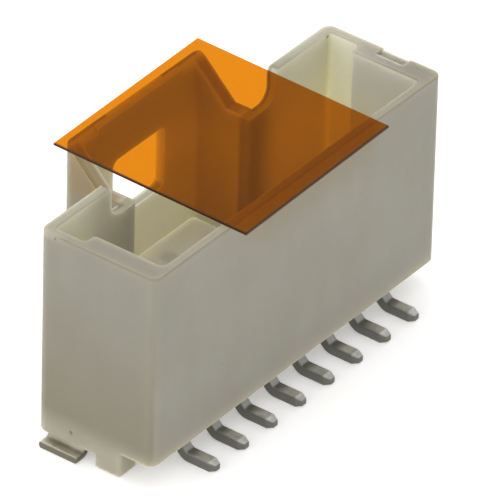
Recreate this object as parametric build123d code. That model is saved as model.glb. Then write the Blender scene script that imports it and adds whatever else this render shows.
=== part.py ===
"""Shrouded pin header: single row, top entry, surface mounted, with a locking window at the back.

Millimetres. X runs along the row of contacts, the leads leave towards -Y, the plug comes down from +Z.
The origin is the centre of the contact row, on the surface of the board.
"""

import os

from build123d import *

# Contact row
ways = 8
pitch = 2.0
end_reach = 2.95  # last contact to the end face of the housing

# Housing, outside
body_width = 6.12
rim_height = 10.82  # top of the walls above the board
underside = 1.2  # clear height below the housing
corner_radius = 0.45
rim_round = 0.1
base_round = 0.12

# Housing, inside
side_wall = 0.46  # front and back walls
end_wall = 1.08
pocket_wall = 0.48  # end wall where it is thinned at the back corners
pocket_length = 1.6
cavity_floor = 2.9
cavity_radius = 0.2
mouth_round = 0.08

# Latch tower at the back
tower_width = 9.3
tower_depth = 2.92  # how far it stands out from the back wall
tower_rise = 0.25  # how far its top stands above the rim
tower_side_wall = 0.77
tower_back_wall = 0.5
notch_gap = 1.0  # each notch beside the tower, along the row
notch_drop = 1.68  # how far the notches and shoulders lie below the rim
notch_radius = 0.7
notch_lip_radius = 0.35
shoulder_setback = 0.14  # full height kept at the back of each tower side
window_width = 3.6
window_height = 3.12
window_bar = 2.32  # wall left above the window
window_radius = 0.35

# Feet of the housing
peg_length = 1.36
peg_depth = 1.2
peg_front = -1.36
peg_round = 0.18
skirt_height = 0.6  # height of the end walls' lower edge above the board

# Gate mark on one end wall
gate_length = 1.45
gate_depth = 0.14
gate_width = 0.62
gate_front = -1.4

# Contacts, bent from square wire
wire = 0.55
wire_edge = 0.07  # across each coined edge, measured along the side
post_below_rim = 4.4
post_taper = 0.45
post_end = 0.25
lead_reach = 4.28  # row to the tips of the leads
lead_rise = 0.54  # foot up to the run below the housing
lead_step_foot = 2.72  # row to the lower end of the step
lead_step_top = 2.2  # row to the upper end of the step
lead_radius = 0.42
root_radius = 0.36
tip_taper = 0.3
tip_end = 0.3
contact_fit = 0.02

# Solder tabs, one in each end wall
tab_thickness = 0.33
tab_width = 2.0
tab_back = 2.66
tab_reach = 0.34  # beyond the end face
tab_radius = 0.22  # inside the bend
tab_edge = 0.07
tab_inset = 0.27  # end face to the outer face of the blade
tab_top = 2.6
tab_fit = 0.03

# Film for picking the header up
film_length = 10.12
film_width = 10.05
film_thickness = 0.09
film_shift = 0.07
film_centre = 4.18  # front rim to the middle of the film
film_turn = 0.9  # degrees out of line with the row

body_length = (ways - 1) * pitch + 2 * end_reach
body_end = body_length / 2
body_side = body_width / 2
tower_back = body_side + tower_depth
tower_top = rim_height + tower_rise
tower_inner = tower_width / 2 - tower_side_wall
notch_floor = rim_height - notch_drop
post_top = rim_height - post_below_rim
window_top = tower_top - window_bar
SIDES = (-1, 1)
OVER = 1.0  # how far a cut runs past the face that it opens


def span(low_x, high_x, low_y, high_y):
    """A rectangle between two corners."""
    return Pos((low_x + high_x) / 2, (low_y + high_y) / 2) * Rectangle(high_x - low_x, high_y - low_y)


def block(low, high):
    """A box between two corners."""
    size = [b - a for a, b in zip(low, high)]
    middle = [(a + b) / 2 for a, b in zip(low, high)]
    return Pos(*middle) * Box(*size)


def rounded_block(length, width, radius, bottom, top):
    """An upright block with round corners and a rounded rim and foot."""
    solid = Pos(0, 0, bottom) * extrude(RectangleRounded(length, width, radius), top - bottom)
    solid = fillet(solid.faces().sort_by(Axis.Z)[-1].edges(), rim_round)
    return fillet(solid.faces().sort_by(Axis.Z)[0].edges(), base_round)


def outer_form():
    """The moulding before it is hollowed: the long body with the latch tower behind it."""
    body = rounded_block(body_length, body_width, corner_radius, skirt_height, rim_height)
    tower = rounded_block(tower_width, tower_back, corner_radius, skirt_height, rim_height)
    return body + Pos(0, tower_back / 2) * tower


def tower_crown():
    """The top of the tower, which stands a little above the rim of the body."""
    foot = rim_height - 2 * rim_round
    plan = Pos(0, tower_back / 2) * RectangleRounded(tower_width, tower_back, corner_radius)
    well = span(-tower_inner, tower_inner, side_wall, tower_back - tower_back_wall)
    plan -= fillet(well.vertices(), cavity_radius)
    crown = Pos(0, 0, foot) * extrude(plan, tower_top - foot)
    crown = fillet(crown.faces().sort_by(Axis.Z)[-1].outer_wire().edges(), rim_round)
    crown = fillet(crown.faces().sort_by(Axis.Z)[-1].inner_wires()[0].edges(), mouth_round)
    return crown - block((-body_end, -OVER, 0), (body_end, body_side, tower_top + OVER))


def cavity():
    """The space for the plug: the long well, its two corner pockets and the well of the tower."""
    inner_end = body_end - end_wall
    inner_side = body_side - side_wall
    pocket_end = body_end - pocket_wall
    plan = span(-inner_end, inner_end, -inner_side, inner_side)
    plan += span(-pocket_end, pocket_end, inner_side - pocket_length, inner_side)
    plan += span(-tower_inner, tower_inner, 0, tower_back - tower_back_wall)
    plan = fillet(plan.vertices(), cavity_radius)
    return Pos(0, 0, cavity_floor) * extrude(plan, rim_height + OVER - cavity_floor)


def belly():
    """What is cut away below the housing, so that only the skirts of the end walls hang lower."""
    inner_end = body_end - end_wall
    plan = span(-body_end - OVER, body_end + OVER, -body_side - OVER, tower_back + OVER)
    for side in SIDES:
        middle = side * (inner_end + body_end + OVER) / 2
        skirt = Pos(middle, (peg_front + peg_length / 2 + body_side + OVER) / 2) * Rectangle(
            body_end + OVER - inner_end, body_side + OVER - peg_front - peg_length / 2
        )
        plan -= skirt
    return Pos(0, 0, skirt_height - OVER) * extrude(plan, underside - skirt_height + OVER)


def pegs():
    """The two feet that stand on the board, flush with the end faces."""
    feet = []
    for side in SIDES:
        foot = extrude(RectangleRounded(peg_depth, peg_length, peg_round), underside + OVER)
        foot = chamfer(foot.faces().sort_by(Axis.Z)[0].edges(), peg_round / 2)
        feet.append(Pos(side * (body_end - peg_depth / 2), peg_front + peg_length / 2) * foot)
    return feet


def wall_notch(side):
    """The notch in the back wall beside the tower, with a round foot and a round lip."""
    start = tower_inner - OVER
    end = tower_width / 2 + notch_gap
    edge = FilletPolyline(
        (start, notch_floor),
        (end, notch_floor),
        (end, rim_height),
        (end + notch_lip_radius, rim_height),
        radius=[notch_radius, notch_lip_radius * 0.999],
    )
    rest = Polyline(
        (end + notch_lip_radius, rim_height),
        (end + notch_lip_radius, rim_height + OVER),
        (start, rim_height + OVER),
        (start, notch_floor),
    )
    face = make_face([edge, rest])
    depth = side_wall + OVER + rim_round
    cut = extrude(Plane.XZ.offset(-(body_side + rim_round)) * face, depth)
    return cut if side > 0 else mirror(cut, Plane.YZ)


def shoulder(side):
    """The side of the tower cut down to the notch, with a slope back up to full height."""
    inner = tower_inner - OVER
    outer = tower_width / 2 + rim_round
    slope_top = tower_back - shoulder_setback
    slope_foot = slope_top - tower_rise - notch_drop
    outline = Polyline(
        (body_side - side_wall - OVER, notch_floor),
        (slope_foot, notch_floor),
        (slope_top, tower_top),
        (slope_top + OVER, tower_top + OVER),
        (body_side - side_wall - OVER, tower_top + OVER),
        close=True,
    )
    cut = extrude(Plane.YZ.offset(inner) * make_face(outline), outer - inner)
    return cut if side > 0 else mirror(cut, Plane.YZ)


def window():
    """The opening that the plug's locking nose snaps into."""
    plan = RectangleRounded(window_width, window_height, window_radius)
    place = Plane.XZ.offset(-(tower_back + OVER)) * Pos(0, window_top - window_height / 2)
    return extrude(place * plan, tower_back_wall + 2 * OVER)


def contact_places():
    """Where the contacts stand along the row."""
    first = -(ways - 1) * pitch / 2
    return [first + pitch * i for i in range(ways)]


def contact_holes():
    """The square holes that the posts are pressed through."""
    half = wire / 2 + contact_fit
    return [block((x - half, -half, 0), (x + half, half, cavity_floor + OVER)) for x in contact_places()]


def tab_slots():
    """The slots below the end walls that hold the blades of the solder tabs."""
    slots = []
    for side in SIDES:
        outer = body_end - tab_inset + tab_fit
        inner = outer - tab_thickness - 2 * tab_fit
        low_y = tab_back - tab_width - tab_fit
        slot = block((inner, low_y, 0), (outer, tab_back + tab_fit, tab_top + tab_fit))
        slots.append(slot if side > 0 else mirror(slot, Plane.YZ))
    return slots


def gate_mark():
    """The shallow recess where the sprue was broken off, in the rim of one end wall."""
    low = (body_end - gate_width, gate_front, rim_height - gate_depth)
    return block(low, (body_end + OVER, gate_front + gate_length, rim_height + OVER))


def make_housing():
    """The moulded housing, in one piece."""
    housing = outer_form() - cavity()
    mouth = housing.faces().filter_by(Axis.Z).sort_by(Axis.Z)[-1]
    housing = fillet(mouth.inner_wires()[0].edges(), mouth_round)
    housing += tower_crown()
    housing -= belly()
    front = housing.edges().filter_by(Axis.X).group_by(Axis.Y)[0].sort_by(Axis.Z)[0]
    housing = fillet(front, base_round)
    housing += pegs()
    for side in SIDES:
        housing -= wall_notch(side)
        housing -= shoulder(side)
    housing -= window()
    housing -= contact_holes()
    housing -= tab_slots()
    housing -= gate_mark()
    return housing


def wire_section(size):
    """The wire's section with its coined edges, size across."""
    section = Rectangle(size, size)
    return chamfer(section.vertices(), wire_edge * size / wire)


def make_contact(x):
    """One contact: a tapered post, bent below the housing and stepped down to its foot."""
    foot_z = wire / 2
    run_z = foot_z + lead_rise
    straight = lead_reach - tip_taper
    path = FilletPolyline(
        (0, -straight, foot_z),
        (0, -lead_step_foot, foot_z),
        (0, -lead_step_top, run_z),
        (0, 0, run_z),
        (0, 0, post_top - post_taper),
        radius=[lead_radius, lead_radius, root_radius],
    )
    front = Plane((0, -straight, foot_z), x_dir=(1, 0, 0), z_dir=(0, -1, 0))
    top = Plane((0, 0, post_top - post_taper))
    bar = sweep(front * wire_section(wire), path=path)
    tip = loft([front * wire_section(wire), front.offset(tip_taper) * wire_section(tip_end)])
    point = loft([top * wire_section(wire), top.offset(post_taper) * wire_section(post_end)])
    return Pos(x) * (bar + tip + point)


def make_tab(side):
    """One solder tab: a blade in the end wall, bent out to a foot on the board."""
    outer = body_end + tab_reach
    blade = body_end - tab_inset - tab_thickness / 2
    bend = tab_radius + tab_thickness / 2
    middle = tab_thickness / 2
    path = FilletPolyline((outer, middle), (blade, middle), (blade, tab_top), radius=[bend])
    route = Plane.XZ.offset(-(tab_back - tab_width / 2)) * path
    start = Plane((outer, tab_back - tab_width / 2, middle), x_dir=(0, 1, 0), z_dir=(-1, 0, 0))
    section = chamfer(Rectangle(tab_width, tab_thickness).vertices(), tab_edge)
    tab = sweep(start * section, path=route)
    return tab if side > 0 else mirror(tab, Plane.YZ)


def make_film():
    """The film that gives a suction nozzle a flat face, laid from the front rim up to the tower."""
    front = rim_round - body_side
    back = tower_back - tower_back_wall + mouth_round
    slope = Plane((film_shift, front, rim_height), x_dir=(1, 0, 0), z_dir=(0, -tower_rise, back - front))
    place = slope * Pos(0, film_centre, film_thickness / 2) * Rot(0, 0, film_turn)
    return place * Box(film_length, film_width, film_thickness)


os.makedirs("parts", exist_ok=True)
export_step(make_housing(), "parts/housing.step")
for number, place in enumerate(contact_places(), start=1):
    export_step(make_contact(place), f"parts/contact_{number}.step")
export_step(make_tab(-1), "parts/solder_tab_left.step")
export_step(make_tab(1), "parts/solder_tab_right.step")
export_step(make_film(), "parts/pick_and_place_film.step")
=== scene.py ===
"""Looks of the shrouded pin header: natural nylon, tinned contacts and an amber pick and place film.

Lengths are metres, in the frame of the part. X runs along the contacts, the leads leave towards -Y.
"""

import math

import bpy
from mathutils import Matrix, Vector


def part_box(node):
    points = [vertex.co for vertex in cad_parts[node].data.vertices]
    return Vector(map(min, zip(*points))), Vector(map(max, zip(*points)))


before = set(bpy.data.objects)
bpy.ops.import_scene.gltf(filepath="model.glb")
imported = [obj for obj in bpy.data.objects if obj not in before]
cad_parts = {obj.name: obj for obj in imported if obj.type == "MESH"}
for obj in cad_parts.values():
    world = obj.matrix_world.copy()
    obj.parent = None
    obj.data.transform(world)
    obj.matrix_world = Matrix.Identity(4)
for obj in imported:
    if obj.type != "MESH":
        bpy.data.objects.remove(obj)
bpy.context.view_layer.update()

MM = 0.001
housing_low, housing_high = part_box("housing")


# Shader sums

class Value:
    """A node's output that takes part in sums as a number would."""

    def __init__(self, finish, socket):
        self.finish = finish
        self.socket = socket

    def sum(self, operation, first, second, clamp=False):
        """One Math node."""
        settings = {"operation": operation, "use_clamp": clamp}
        return self.finish.node("ShaderNodeMath", settings, {0: first, 1: second})

    def __add__(self, other):
        return self.sum("ADD", self, other)

    def __radd__(self, other):
        return self.sum("ADD", other, self)

    def __sub__(self, other):
        return self.sum("SUBTRACT", self, other)

    def __rsub__(self, other):
        return self.sum("SUBTRACT", other, self)

    def __mul__(self, other):
        return self.sum("MULTIPLY", self, other)

    def __rmul__(self, other):
        return self.sum("MULTIPLY", other, self)

    def most(self, other):
        """The larger of the two."""
        return self.sum("MAXIMUM", self, other)

    def size(self):
        """The value without its sign."""
        return self.sum("ABSOLUTE", self, 0.0)

    def clipped(self):
        """The value held between 0 and 1."""
        return self.sum("ADD", self, 0.0, clamp=True)

    def ramp(self, start, end):
        """0 at start, 1 at end, with soft shoulders."""
        settings = {"interpolation_type": "SMOOTHSTEP"}
        inputs = {"Value": self, "From Min": start, "From Max": end}
        return self.finish.node("ShaderNodeMapRange", settings, inputs)

    def rise(self, start, end):
        """The same for a length, with start and end in millimetres."""
        return self.ramp(start * MM, end * MM)


class Finish:
    """One material, with the calls that add its nodes."""

    def __init__(self, name):
        self.material = bpy.data.materials.new(name)
        self.material.use_nodes = True
        self.tree = self.material.node_tree
        self.tree.nodes.clear()
        self.out = self.tree.nodes.new("ShaderNodeOutputMaterial")
        self.place = self.node("ShaderNodeTexCoord", {}, {}, "Object")

    def node(self, kind, settings, inputs, output=0):
        """Adds a node, sets it up, joins or sets its inputs, and gives one of its outputs."""
        made = self.tree.nodes.new(kind)
        for name, value in settings.items():
            setattr(made, name, value)
        for name, value in inputs.items():
            self.join(made.inputs[name], value)
        return Value(self, made.outputs[output])

    def join(self, socket, value):
        """Links a value to a socket, or sets the socket to a plain number or colour."""
        if isinstance(value, Value):
            self.tree.links.new(value.socket, socket)
        else:
            socket.default_value = value

    def noise(self, size, detail=2.0, roughness=0.5, stretch=(1.0, 1.0, 1.0)):
        """Even noise with features of about the given size, from 0 to 1."""
        place = self.node("ShaderNodeMapping", {}, {"Vector": self.place, "Scale": stretch})
        inputs = {"Vector": place, "Scale": 1.0 / size, "Detail": detail, "Roughness": roughness}
        return self.node("ShaderNodeTexNoise", {}, inputs)

    def parts(self, vector):
        """The three parts of a vector."""
        split = self.node("ShaderNodeSeparateXYZ", {}, {"Vector": vector})
        return [Value(self, output) for output in split.socket.node.outputs]

    def axes(self):
        """The three coordinates of the point, in metres: along the row, across it and up."""
        return self.parts(self.place)

    def mix_colour(self, share, first, second):
        """A colour between two colours."""
        # 6 and 7 are the colour inputs of a Mix node, and 2 is its colour output
        return self.node("ShaderNodeMix", {"data_type": "RGBA"}, {0: share, 6: first, 7: second}, 2)

    def distance(self, point):
        """How far the surface is from a point."""
        settings = {"operation": "DISTANCE"}
        return self.node("ShaderNodeVectorMath", settings, {0: self.place, 1: point}, "Value")

    def soft_edges(self, radius):
        """A normal that rounds the edges off."""
        return self.node("ShaderNodeBevel", {"samples": 8}, {"Radius": radius})

    def bump(self, height, depth, strength, ground=None):
        """A normal that follows a height, on the surface's own normal or on another one."""
        inputs = {"Height": height, "Distance": depth, "Strength": strength}
        if ground is not None:
            inputs["Normal"] = ground
        return self.node("ShaderNodeBump", {}, inputs)

    def plastic(self, inputs):
        """A Principled shader with these sockets."""
        return self.node("ShaderNodeBsdfPrincipled", {"subsurface_method": "RANDOM_WALK"}, inputs)

    def clear(self, colour):
        """A Transparent shader that stains what is behind it."""
        return self.node("ShaderNodeBsdfTransparent", {}, {"Color": colour})

    def mix_shader(self, share, first, second):
        """A shader between two shaders."""
        return self.node("ShaderNodeMixShader", {}, {0: share, 1: first, 2: second})

    def show(self, shader):
        """Joins a shader to the surface."""
        self.tree.links.new(shader.socket, self.out.inputs["Surface"])
        return self.material


def linear(red, green, blue):
    """A colour given as it looks on screen, 0 to 255, as the light it stands for."""
    def channel(value):
        share = value / 255.0
        return share / 12.92 if share <= 0.04045 else ((share + 0.055) / 1.055) ** 2.4

    return (channel(red), channel(green), channel(blue), 1.0)


# Nylon

DIRT_SPECKS = [
    # place in millimetres, radius in millimetres, darkness
    ((-9.95, 1.24, 1.21), 0.13, 0.55),
    ((-9.95, 2.22, 10.66), 0.10, 0.45),
    ((9.30, 2.60, 10.60), 0.12, 0.50),
    ((-2.70, 2.60, 5.65), 0.09, 0.40),
    ((-5.30, -3.06, 4.10), 0.05, 0.30),
    ((4.30, -3.06, 7.60), 0.05, 0.25),
    # a wide, faint darker patch on the floor of the tower's well
    ((0.84, 4.37, 2.90), 0.60, 0.20),
]


def well_light_share(finish):
    """1 on the walls of the plug's well and the latch tower's well, where their painted light goes, 0 on the
    outside of the moulding.
    """
    along, across, up = finish.axes()
    aside = along.size()
    pocket = aside.rise(9.78, 9.64) * across.rise(0.5, 0.8)
    body = aside.rise(9.15, 9.00).most(pocket) * across.size().rise(2.93, 2.80)
    tower = aside.rise(4.62, 4.30) * across.rise(5.84, 5.72) * across.rise(2.0, 2.4)
    jambs = aside.rise(1.95, 1.85) * across.rise(5.975, 5.94) * across.rise(5.3, 5.4)

    # Painted shade: the back wall darkens towards the tower, over a longer way at the near end
    back_wall = across.rise(2.3, 2.5) * across.rise(3.2, 3.0)
    either_end = aside.rise(6.1, 4.4) * aside.rise(3.70, 3.85)
    near_end = along.rise(-8.4, -5.4) * along.rise(-4.2, -4.4)
    back_wall_shade = either_end.most(near_end) * back_wall
    sill = across.rise(5.53, 5.60) * aside.rise(1.95, 1.80) * up.rise(5.85, 5.66)

    wells = body.most(tower).most(jambs) * (1.0 - back_wall_shade * 0.5) * (1.0 - sill * 0.6)
    above_floor = up.rise(2.0, 2.4)
    below_rim = up.rise(10.79, 10.68).most(across.rise(3.2, 3.4))
    return wells * above_floor * below_rim


def outside_colour(finish, shade):
    """Ivory, warmer low on the end walls, lighter at the foot, with painted light and shade on the rims and a
    warm painted shadow under the film's front edge.
    """
    along, across, up = finish.axes()
    aside = along.size()
    colour = finish.mix_colour(shade, linear(139, 136, 124), linear(144, 141, 130))
    end_walls = aside.rise(9.70, 9.85) * up.rise(10.5, 1.0)
    colour = finish.mix_colour(end_walls * 0.8, colour, linear(128, 121, 102))
    foot = up.rise(2.2, 0.8)
    colour = finish.mix_colour(foot, colour, linear(160, 154, 138))

    # The rims, in painted light and shade: darker on their rounded edges, paler on top and palest at the far
    # end and the near back corner
    outer_edge = aside.rise(9.5, 9.7).most(across.size().rise(2.80, 2.92))
    edges = up.rise(10.70, 10.75) * (outer_edge * 0.4 + 0.2)
    colour = finish.mix_colour(edges, colour, linear(114, 111, 100))
    top = up.rise(10.808, 10.819)
    colour = finish.mix_colour(top, colour, linear(149, 145, 132))
    rim = up.rise(10.4, 10.72)
    far_rim_light = along.rise(4.0, 9.0) * across.rise(-2.0, 2.0) * rim
    colour = finish.mix_colour(far_rim_light * 0.8, colour, linear(178, 175, 162))
    near_back_rim_light = along.rise(-5.0, -7.0) * across.rise(1.5, 2.5) * rim
    colour = finish.mix_colour(near_back_rim_light * 0.4, colour, linear(178, 175, 162))

    # Painted shadow: the film's front edge casts a warm shade on the front wall below it
    film_front_shadow = along.rise(-4.8, -2.4) * along.rise(6.0, 4.4) * across.rise(-2.9, -3.04) * up.rise(8.0, 10.4)
    return finish.mix_colour(film_front_shadow * 0.6, colour, linear(140, 124, 96))


def inside_colour(finish, shade):
    """Painted light on the walls and floors of the wells: pale and warm, standing in for the light that the
    thin nylon lets through.
    """
    along, across, up = finish.axes()
    # Painted light: the wells are lighter towards the far end
    deep = finish.mix_colour(along.rise(-8.0, 8.0), linear(208, 205, 194), linear(234, 230, 207))
    deep = finish.mix_colour(shade * 0.3, deep, linear(240, 238, 228))
    tower_foot = across.rise(2.8, 4.0) * up.rise(8.0, 6.0)
    deep = finish.mix_colour(tower_foot * 0.4, deep, linear(202, 203, 206))
    well_floor = up.rise(3.00, 2.92)
    deep = finish.mix_colour(well_floor, deep, linear(238, 236, 230))
    colour = finish.mix_colour(up.rise(10.6, 6.0), linear(200, 198, 188), deep)
    # Painted light: palest on the thin walls of the end pockets, lit through from behind
    thin_walls = along.size().rise(9.3, 9.6) * across.rise(0.5, 0.8)
    return finish.mix_colour(thin_walls * 0.7, colour, linear(242, 241, 230))


def dirt_share(finish):
    """How dark the specks of dirt are, with ragged edges, and 0 away from them."""
    ragged = finish.noise(0.12 * MM, detail=3.0)
    dirt = None
    for place, radius, darkness in DIRT_SPECKS:
        centre = [length * MM for length in place]
        reach = finish.distance(centre) + (ragged - 0.5) * (radius * MM * 1.1)
        spot = reach.ramp(radius * MM, radius * MM * 0.35) * darkness
        dirt = spot if dirt is None else dirt.most(spot)
    return dirt


def natural_nylon():
    """Uncoloured nylon: ivory, a little cloudy, with a fine matt skin and a few specks of dirt."""
    finish = Finish("natural_nylon")
    clouds = finish.noise(3.5 * MM, detail=3.0, roughness=0.55)
    flow = finish.noise(1.1 * MM, stretch=(1.0, 1.0, 0.35))
    grain = finish.noise(0.10 * MM, detail=3.0, roughness=0.6)
    shade = (clouds * 0.7 + flow * 0.3).ramp(0.30, 0.70)
    outside = outside_colour(finish, shade)
    inside = inside_colour(finish, shade)
    colour = finish.mix_colour(well_light_share(finish), outside, inside)

    along, across, up = finish.axes()
    # Painted shade: the tower's sides just under the film take the film's amber shade
    tower_sides = along.size().rise(3.95, 4.10) * across.rise(3.1, 3.5) * across.rise(5.9, 5.4)
    tower_film_shade = tower_sides * up.rise(7.8, 9.2)
    colour = finish.mix_colour(tower_film_shade * 0.55, colour, linear(154, 128, 74))
    colour = finish.mix_colour(grain.ramp(0.35, 0.75) * 0.05, colour, linear(140, 134, 116))
    dirt = dirt_share(finish)
    colour = finish.mix_colour(dirt, colour, linear(62, 52, 38))
    height = grain * 0.7 + flow * 0.3
    return finish.show(
        finish.plastic(
            {
                "Base Color": colour,
                "Roughness": 0.46 + grain * 0.14 + dirt * 0.2,
                "Subsurface Weight": 1.0,
                "Subsurface Radius": (1.0, 0.95, 0.70),
                "Subsurface Scale": 1.2 * MM,
                "IOR": 1.5,
                "Specular IOR Level": 0.25,
                "Normal": finish.bump(height, 0.012 * MM, 0.5),
            }
        )
    )


# Tin and film

def tin_plate(name, bright, dull, flank_shade):
    """Matt tin over drawn or stamped metal, with drawing marks and dull patches, and painted shade on the
    flanks, at the roots by the housing and at the tips.
    """
    finish = Finish(name)
    patches = finish.noise(0.55 * MM, detail=3.0, roughness=0.6)
    marks = finish.noise(0.06 * MM, stretch=(1.0, 0.12, 0.12))
    crystals = finish.noise(0.035 * MM)
    shade = (patches * 0.75 + marks * 0.25).ramp(0.32, 0.68)
    plate = finish.mix_colour(shade, dull, bright)
    soft_edges = finish.soft_edges(0.13 * MM)
    # Painted shade: darker on the flanks, by how far the rounded-off normal leans from upright
    level = finish.parts(soft_edges)[2].size()
    across = finish.axes()[1]
    # Painted shade: darker where the leads leave the housing and at their tips
    roots = across.rise(-3.5, -3.0) * across.rise(-2.4, -2.7)
    tips = across.rise(-3.95, -4.15)
    root_and_tip_shade = roots * 0.7 + tips * 0.35
    return finish.show(
        finish.plastic(
            {
                "Base Color": finish.mix_colour(level.ramp(1.0, 0.2).most(root_and_tip_shade), plate, flank_shade),
                "Metallic": 0.9,
                "Roughness": 0.34 + patches * 0.16 + crystals * 0.08,
                "Normal": finish.bump(marks * 0.6 + crystals * 0.4, 0.006 * MM, 0.6, soft_edges),
            }
        )
    )


def amber_film():
    """Clear amber polyimide with a glossy skin.

    What is seen through it takes its full colour. The light that it lets on to the nylon below stays paler.
    """
    finish = Finish("amber_film")
    ripples = finish.noise(2.6 * MM, detail=1.0)
    specks = finish.noise(0.16 * MM).ramp(0.70, 0.78)
    upright = finish.node("ShaderNodeNewGeometry", {}, {}, "Normal")
    level = finish.parts(upright)[2].size()
    inside = finish.node("ShaderNodeNewGeometry", {}, {}, "Backfacing")

    # The edges that face the left and the front are dark over their rounded top too
    lean = finish.parts(finish.soft_edges(0.20 * MM))
    left_front_edges = (0.0 - lean[0]).most(0.0 - lean[1]).ramp(0.10, 0.40)
    cut_edge = (1.0 - level.ramp(0.3, 0.7)).most(left_front_edges) * (1.0 - inside)

    face = finish.mix_colour(ripples.ramp(0.35, 0.65), linear(98, 93, 92), linear(106, 101, 98))
    skin = finish.plastic(
        {
            "Base Color": finish.mix_colour(cut_edge, face, linear(62, 33, 4)),
            "Roughness": 0.16 + ripples * 0.08 + specks * 0.3,
            "IOR": 1.65,
            "Specular IOR Level": 0.08,
            "Normal": finish.bump(ripples, 0.04 * MM, 0.4),
        }
    )
    seen_through = finish.clear((0.84, 0.473, 0.055, 1.0))
    let_through = finish.clear((0.89, 0.845, 0.77, 1.0))
    straight = finish.node("ShaderNodeLightPath", {}, {}, "Is Camera Ray")
    stain = finish.mix_shader(straight, let_through, seen_through)
    skin_share = cut_edge * 0.94 + 0.05 + specks * 0.2 + ripples * 0.02
    return finish.show(finish.mix_shader(skin_share.clipped(), stain, skin))


def dress(nodes, material):
    """Gives each of these nodes one material."""
    for name in nodes:
        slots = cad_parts[name].data.materials
        slots.clear()
        slots.append(material)


contact_nodes = sorted(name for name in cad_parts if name.startswith("contact_"))
tab_nodes = sorted(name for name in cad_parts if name.startswith("solder_tab_"))
# Each list: bright and dull tin, then the painted shade of the flanks, roots and tips
wire_colours = [linear(222, 222, 216), linear(186, 186, 180), linear(112, 111, 105)]  # bright, dull, flank
strip_colours = [linear(224, 219, 206), linear(186, 181, 166), linear(120, 114, 100)]
dress(["housing"], natural_nylon())
dress(contact_nodes, tin_plate("contact_tin", *wire_colours))
dress(tab_nodes, tin_plate("tab_tin", *strip_colours))
dress(["pick_and_place_film"], amber_film())


# Studio

FLOOR_WIDTH = 1.6
FLOOR_GAP = 0.002 * MM  # between the bench and the lowest face of the part
SKY_STRENGTH = 0.95
LAMPS = [
    # name, place, width of the box, watts
    ("soft_box_above", (0.06, 0.16, 0.5), 0.35, 0.3),
    ("soft_box_left", (-0.5, 0.04, 0.2), 0.35, 0.55),
]


def pale_floor():
    """The bench that the header stands on."""
    finish = Finish("pale_floor")
    mottle = finish.noise(30.0 * MM)
    colour = finish.mix_colour(mottle, linear(248, 248, 248), linear(251, 251, 251))
    return finish.show(
        finish.plastic(
            {
                "Base Color": colour,
                "Roughness": 0.75 + mottle * 0.1,
                "Emission Color": colour,
                "Emission Strength": 0.3,
            }
        )
    )


def flat_sheet(name, width, height, material):
    """A level square sheet round the origin, made as a grid of faces."""
    steps = 8
    points = []
    for row in range(steps + 1):
        for column in range(steps + 1):
            points.append((width * (column / steps - 0.5), width * (row / steps - 0.5), height))
    faces = []
    for row in range(steps):
        for column in range(steps):
            corner = row * (steps + 1) + column
            faces.append((corner, corner + 1, corner + steps + 2, corner + steps + 1))
    mesh = bpy.data.meshes.new(name)
    mesh.from_pydata(points, [], faces)
    mesh.materials.append(material)
    sheet = bpy.data.objects.new(name, mesh)
    bpy.context.scene.collection.objects.link(sheet)
    return sheet


def soft_light(name, place, aim, size, power):
    """A square soft box that points at a place."""
    lamp = bpy.data.lights.new(name, "AREA")
    lamp.shape = "SQUARE"
    lamp.size = size
    lamp.energy = power
    light = bpy.data.objects.new(name, lamp)
    bpy.context.scene.collection.objects.link(light)
    back = (Vector(place) - Vector(aim)).normalized()
    light.matrix_world = Matrix.Translation(place) @ back.to_track_quat("Z", "Y").to_matrix().to_4x4()


def even_sky(strength):
    """White light from all round."""
    world = bpy.data.worlds.new("studio")
    world.use_nodes = True
    background = world.node_tree.nodes["Background"]
    background.inputs["Color"].default_value = (1.0, 1.0, 1.0, 1.0)
    background.inputs["Strength"].default_value = strength
    bpy.context.scene.world = world


def photo_camera():
    """The camera of the photograph, from its lens, its bearing and where the part sits in its view."""
    azimuth = math.radians(-53.619)
    elevation = math.radians(34.910)
    roll = math.radians(1.575)
    distance = 413.036 * MM
    aside = -0.487 * MM  # the origin's place in the view, across and up
    above = -3.689 * MM
    underside = 1.19 * MM  # the height that the view was measured from
    sensor = 36.0
    lens_pixels = 9719.6
    picture_pixels = 500

    flat = math.cos(elevation)
    back = Vector((math.sin(azimuth) * flat, -math.cos(azimuth) * flat, math.sin(elevation)))
    level = Vector((math.cos(azimuth), math.sin(azimuth), 0.0))
    steep = back.cross(level)
    right = level * math.cos(roll) + steep * math.sin(roll)
    up = steep * math.cos(roll) - level * math.sin(roll)
    place = back * distance - right * aside - up * above + Vector((0.0, 0.0, underside))

    lens = bpy.data.cameras.new("photo_camera")
    lens.sensor_fit = "HORIZONTAL"
    lens.sensor_width = sensor
    lens.lens = sensor * (lens_pixels / picture_pixels)
    lens.clip_start = 0.01
    lens.clip_end = 10.0
    camera = bpy.data.objects.new("photo_camera", lens)
    bpy.context.scene.collection.objects.link(camera)
    turn = Matrix((right, up, back)).transposed()
    camera.matrix_world = Matrix.Translation(place) @ turn.to_4x4()
    bpy.context.scene.camera = camera


floor = flat_sheet("bench_top", FLOOR_WIDTH, housing_low.z - FLOOR_GAP, pale_floor())
middle = (0.0, 0.0, housing_high.z / 2)
for lamp_name, lamp_place, box_width, watts in LAMPS:
    soft_light(lamp_name, lamp_place, middle, box_width, watts)
even_sky(SKY_STRENGTH)
photo_camera()
bpy.context.scene.view_settings.view_transform = "Standard"
